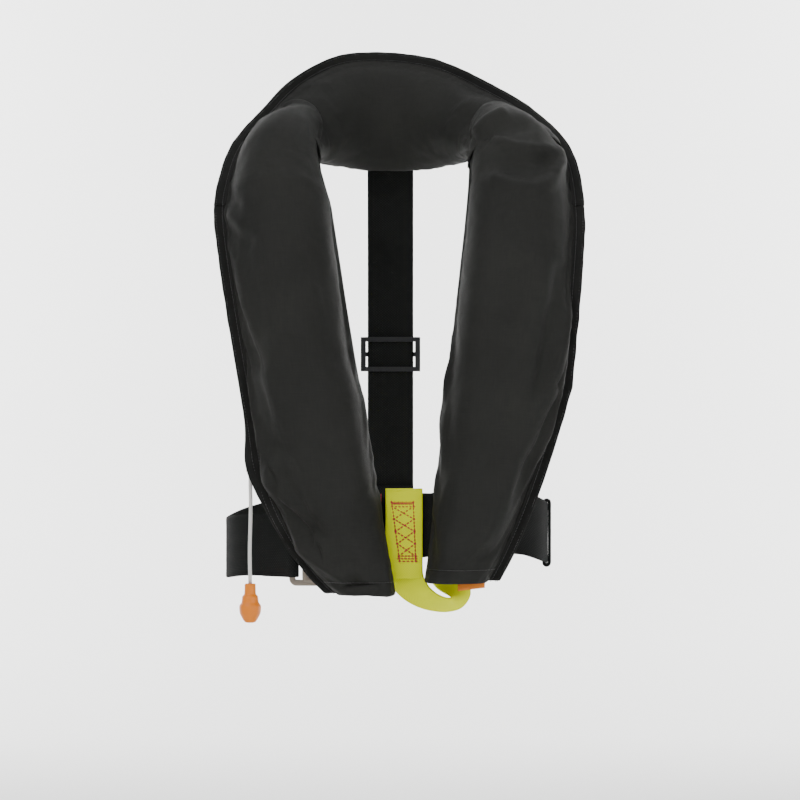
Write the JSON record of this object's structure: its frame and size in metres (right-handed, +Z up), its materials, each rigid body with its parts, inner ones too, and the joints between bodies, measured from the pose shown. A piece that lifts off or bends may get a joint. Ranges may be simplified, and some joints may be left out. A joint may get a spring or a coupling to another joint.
{
  "type": "inflatable life jacket",
  "caption": "Horseshoe inflatable life jacket: folded cover with stand-up collar, waist belt with steel buckle, lifting becket, gas inflator and pull cord.",
  "frame": {"origin": "where the neck opening rests on the wearer's shoulders, midway between them", "axes": "+Z up, +X to the wearer's left, -Y forward out of the chest"},
  "size_m": [0.305, 0.2702, 0.4778],
  "materials": {
    "cover_cloth": "matt coated polyester, fine plain weave",
    "lining_cloth": "matt woven lining",
    "band_tape": "ribbed binding",
    "closure_tape": "hook-and-loop pile",
    "bladder_cloth": "coated nylon, satin",
    "black_webbing": "woven webbing",
    "stainless_steel": "polished and brushed",
    "lime_webbing": "woven webbing, fluorescent",
    "black_plastic": "moulded",
    "orange_plastic": "moulded",
    "white_cord": "braided",
    "green_plastic": "moulded",
    "red_plastic": "moulded",
    "cylinder_steel": "plated, satin",
    "black_rubber": "moulded"
  },
  "bodies": {
    "jacket": {"collar_cover": "cover_cloth", "cover_front_right": "cover_cloth", "cover_front_left": "cover_cloth", "collar_back_panel": "lining_cloth", "back_panel_right": "lining_cloth", "back_panel_left": "lining_cloth", "edge_band_collar": "band_tape", "edge_band_right": "band_tape", "edge_band_left": "band_tape", "hook_tape_right": "closure_tape", "hook_tape_left": "closure_tape", "bladder": "bladder_cloth", "waist_belt": "black_webbing", "belt_fold_frame": "black_webbing", "belt_fold_hook": "black_webbing", "back_strap": "black_webbing", "back_yoke_loop": "black_webbing", "buckle_frame": "stainless_steel", "lever_pin": "stainless_steel", "valve_nut": "stainless_steel", "becket_wrap": "lime_webbing", "becket_loop": "lime_webbing", "inflator_head": "black_plastic", "oral_tube": "black_plastic", "whistle": "orange_plastic", "whistle_lanyard": "white_cord", "status_clip": "green_plastic", "seal_washer": "black_rubber", "belt_keeper": "black_rubber"},
    "right_flap": {"cover_flap_right": "cover_cloth", "flap_band_right_upper": "band_tape", "flap_band_right_lower": "band_tape", "loop_tape_right_upper": "closure_tape", "loop_tape_right_lower": "closure_tape"},
    "left_flap": {"cover_flap_left": "cover_cloth", "flap_band_left": "band_tape", "loop_tape_left": "closure_tape"},
    "pull_handle": {"pull_cord": "white_cord", "pull_toggle": "orange_plastic"},
    "lever": {"firing_lever": "red_plastic"},
    "pin": {"piercing_pin": "stainless_steel"},
    "cylinder": {"co2_cylinder": "cylinder_steel", "cylinder_neck": "cylinder_steel"},
    "oral_cap": {"oral_dust_cap": "black_plastic"},
    "oral_poppet": {"oral_valve_poppet": "red_plastic"},
    "buckle_hook_ring": {"buckle_hook": "stainless_steel"},
    "strap_slide": {"back_slide": "black_plastic"}
  },
  "joints": [
    {"name": "right_flap_peel", "type": "hinge", "parent": "jacket", "child": "right_flap", "pos_m": [-0.13732, -0.1496, -0.09], "axis": [-0.4706, 0, 0.8823], "range_deg": [0, 80]},
    {"name": "left_flap_peel", "type": "hinge", "parent": "jacket", "child": "left_flap", "pos_m": [0.15565, -0.1496, -0.09], "axis": [-0.4491, 0, -0.8935], "range_deg": [0, 80]},
    {"name": "cord_pull", "type": "slide", "parent": "jacket", "child": "pull_handle", "axis": [0, 0, -1], "range_m": [0, 0.04]},
    {"name": "lever_swing", "type": "hinge", "parent": "jacket", "child": "lever", "pos_m": [-0.0745, -0.1285, -0.254], "axis": [0, -1, 0], "range_deg": [0, 60]},
    {"name": "pin_stroke", "type": "slide", "parent": "jacket", "child": "pin", "axis": [0, 0, 1], "range_m": [0, 0.0065]},
    {"name": "cylinder_turn", "type": "hinge", "parent": "jacket", "child": "cylinder", "pos_m": [-0.068, -0.1285, -0.17], "axis": [0, 0, 1], "continuous": true},
    {"name": "dust_cap_pull", "type": "slide", "parent": "jacket", "child": "oral_cap", "axis": [0, 0, 1], "range_m": [0, 0.014]},
    {"name": "oral_valve_press", "type": "slide", "parent": "jacket", "child": "oral_poppet", "axis": [0, 0, -1], "range_m": [0, 0.004], "stiffness_N_per_m": 150},
    {"name": "buckle_hook_tilt", "type": "hinge", "parent": "jacket", "child": "buckle_hook_ring", "pos_m": [-0.05, -0.0956, -0.316], "axis": [0, 0, 1], "range_deg": [0, 5]},
    {"name": "back_slide_travel", "type": "slide", "parent": "jacket", "child": "strap_slide", "axis": [0, 0, 1], "range_m": [-0.04, 0.04]}
  ],
  "couplings": [
    {"joint": "lever_swing", "follows": "cord_pull", "rad_per_m": 26.179},
    {"joint": "pin_stroke", "follows": "cord_pull", "ratio": 0.1624}
  ]
}
